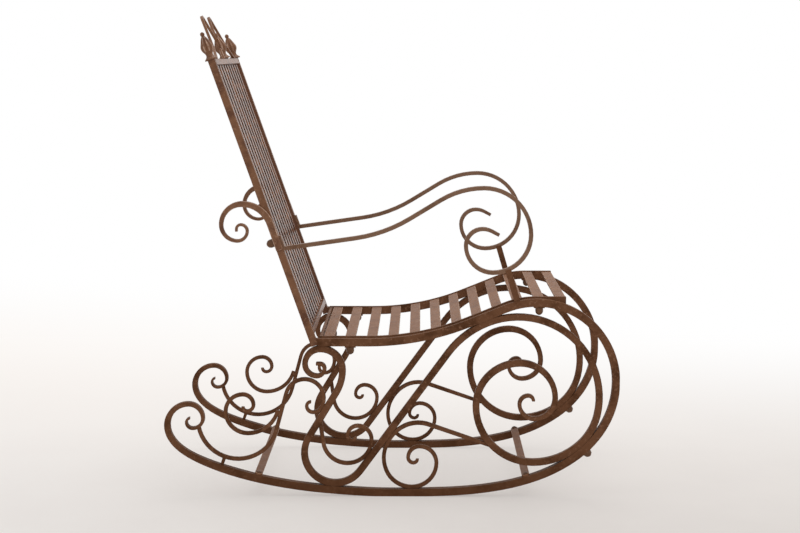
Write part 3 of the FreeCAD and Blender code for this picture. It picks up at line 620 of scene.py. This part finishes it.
def scroll_thickness(far):
    """How thick the arm's rear scroll is, so far along it."""
    for (start, low), (stop, high) in zip(SCROLL_TAPER, SCROLL_TAPER[1:]):
        if far <= stop + JUST_PAST:
            return low + (high - low) * (far - start) / (stop - start)


def rolled_scroll(name):
    """An arm's rear scroll: it lies along the post, then curls back and grows thinner to its tip."""
    corners = corners_of(name)
    at = low_end(corners, Vector((math.cos(SCROLL_START), 0.0, math.sin(SCROLL_START))), SCROLL_FOOT)
    post = [corner.dot(BACK_FORWARD) for corner in corners_of(name.replace("arm_scroll", "back_post"))]
    at = at + BACK_FORWARD * ((min(post) + max(post)) / 2.0 - at.dot(BACK_FORWARD))
    wide = max(corner.y for corner in corners) - min(corner.y for corner in corners)
    side = Vector((0.0, wide / 2.0, 0.0))
    shape = bmesh.new()
    rings = []
    for spot, heading, far in walked(at, 90.0 + math.degrees(LEAN), SCROLL_RUNS):
        out = Vector((math.sin(math.radians(heading)), 0.0, -math.cos(math.radians(heading))))
        half = out * (scroll_thickness(far) / 2.0)
        ring = (half + side, half - side, -half - side, -half + side)
        rings.append([shape.verts.new(spot + reach) for reach in ring])
    skinned(shape, rings)
    bmesh.ops.recalc_face_normals(shape, faces=shape.faces)
    rounded_off(name, shape)


def carved_bud(name):
    """A finial: collar, neck, a bulb of overlapping leaves and a ball on its tip."""
    base = low_end(corners_of(name), BACK_UPWARD, BUD_FOOT)
    across = Vector((0.0, 1.0, 0.0))
    steps = BUD_LEAVES * BUD_LEAF_STEPS
    shape = bmesh.new()
    edge_mark = shape.faces.layers.float.new("edge")
    rings = []
    for height, reach, leafy in BUD_PROFILE:
        ring = []
        for n in range(steps):
            turn = 2.0 * math.pi * n / steps
            vein = abs(math.sin(turn * BUD_LEAVES / 2.0))
            fold = 1.0 - leafy * BUD_FOLD * (1.0 - vein ** BUD_SHARPNESS)
            radius = BUD_BULB * reach * fold
            spot = base + BACK_UPWARD * (BUD_TALL * height)
            spot = spot + BACK_FORWARD * (radius * math.cos(turn)) + across * (radius * math.sin(turn))
            ring.append(shape.verts.new(spot))
        rings.append(ring)
    for level, n, face in skinned(shape, rings):
        face.smooth = True
        # Ridge faces are marked like edges, so the crest paint's pale edge colour paints highlights on them
        if BUD_PROFILE[level][2] > BUD_LEAFY and n % BUD_LEAF_STEPS in BUD_RIDGE:
            face[edge_mark] = 1.0
    shown(name + "_bud", shape, BUD_CREASE, name)


def picture_camera():
    """A camera where the picture was taken from."""
    lens = bpy.data.cameras.new("camera")
    lens.lens = CAMERA_LENS
    lens.sensor_width = CAMERA_SENSOR
    lens.clip_end = CAMERA_SEES
    camera = bpy.data.objects.new("camera", lens)
    camera.location = CAMERA_AT
    camera.rotation_euler = (math.radians(90.0 - CAMERA_DOWN), 0.0, math.radians(CAMERA_TURN))
    bpy.context.scene.collection.objects.link(camera)
    bpy.context.scene.camera = camera


def floor_paint():
    """Pale paint, a little darker toward the front as a painted shade, mixed with a glow that lightens the
    chair's shadow and turns the floor white far from the chair.
    """
    material = bpy.data.materials.new("floor_paint")
    material.use_nodes = True
    tree = material.node_tree
    shader = tree.nodes["Principled BSDF"]
    shader.inputs["Roughness"].default_value = FLOOR_ROUGH
    shader.inputs["Specular IOR Level"].default_value = FLOOR_SHINE
    place = own_place(tree)
    spot = split(tree, place)
    cloud = ranged(tree, grain(tree, place, *FLOOR_CLOUDS), *FLOOR_CLOUD_SHOWS)
    rear, front = (mixed(tree, cloud, srgb(*dull), srgb(*clean)) for dull, clean in (FLOOR_REAR, FLOOR_FRONT))
    tone = mixed(tree, ranged(tree, spot["X"], *FLOOR_TURN), rear, front)
    wired(tree, tone, shader.inputs["Base Color"])
    length = node(tree, "ShaderNodeVectorMath", operation="LENGTH")
    wired(tree, place, length.inputs[0])
    far = ranged(tree, length.outputs["Value"], *FAR_OFF)
    away = sums(tree, "ADD", spot["Y"], sums(tree, "MULTIPLY", spot["X"], GLOW_SLANT))
    bright = sums(tree, "MAXIMUM", ranged(tree, away, *GLOW_TURN), far)
    white = node(tree, "ShaderNodeEmission")
    wired(tree, mixed(tree, bright, srgb(*GLOW), WHITE), white.inputs["Color"])
    # The glow is mixed in by place: about half under the chair, a painted light that lightens its shadow, and
    # in full far off
    blend = node(tree, "ShaderNodeMixShader")
    wired(tree, sums(tree, "MAXIMUM", ranged(tree, spot["Y"], *FADE), far), blend.inputs[0])
    wired(tree, shader.outputs[0], blend.inputs[1])
    wired(tree, white.outputs[0], blend.inputs[2])
    wired(tree, blend.outputs[0], tree.nodes["Material Output"].inputs["Surface"])
    return material


def pale_floor():
    """A plain pale floor under the chair."""
    shape = bmesh.new()
    bmesh.ops.create_grid(shape, x_segments=2, y_segments=2, size=FLOOR_HALF)
    mesh = bpy.data.meshes.new("floor")
    shape.to_mesh(mesh)
    shape.free()
    mesh.materials.append(floor_paint())
    floor = bpy.data.objects.new("floor", mesh)
    bpy.context.scene.collection.objects.link(floor)


def studio_room():
    """White all round; it lights the chair less than it shows."""
    world = bpy.data.worlds.new("studio")
    bpy.context.scene.world = world
    world.use_nodes = True
    tree = world.node_tree
    light = tree.nodes["Background"]
    light.inputs["Color"].default_value = WHITE
    light.inputs["Strength"].default_value = ROOM_LIGHT
    seen = node(tree, "ShaderNodeBackground")
    seen.inputs["Color"].default_value = WHITE
    seen.inputs["Strength"].default_value = ROOM_SEEN
    path = node(tree, "ShaderNodeLightPath")
    direct = sums(tree, "MAXIMUM", path.outputs["Is Camera Ray"], path.outputs["Is Glossy Ray"])
    direct = sums(tree, "MAXIMUM", direct, path.outputs["Is Transmission Ray"])
    blend = node(tree, "ShaderNodeMixShader")
    wired(tree, direct, blend.inputs[0])
    wired(tree, light.outputs[0], blend.inputs[1])
    wired(tree, seen.outputs[0], blend.inputs[2])
    wired(tree, blend.outputs[0], tree.nodes["World Output"].inputs["Surface"])


def studio_lamps():
    """A wide soft lamp overhead and a fill beside the camera."""
    for name, at, size, power in LAMPS:
        lamp = bpy.data.lights.new(name, "AREA")
        lamp.shape = "SQUARE"
        lamp.size = size
        lamp.energy = power
        piece = bpy.data.objects.new(name, lamp)
        piece.location = at
        piece.rotation_euler = (LAMP_AIM - at).to_track_quat("-Z", "Y").to_euler()
        bpy.context.scene.collection.objects.link(piece)


for name in sorted(nodes):
    if "finial" in name:
        carved_bud(name)
    elif name.startswith("arm_scroll"):
        rolled_scroll(name)
    else:
        softened(name)
picture_camera()
pale_floor()
studio_room()
studio_lamps()
bpy.context.scene.view_settings.view_transform = "Standard"
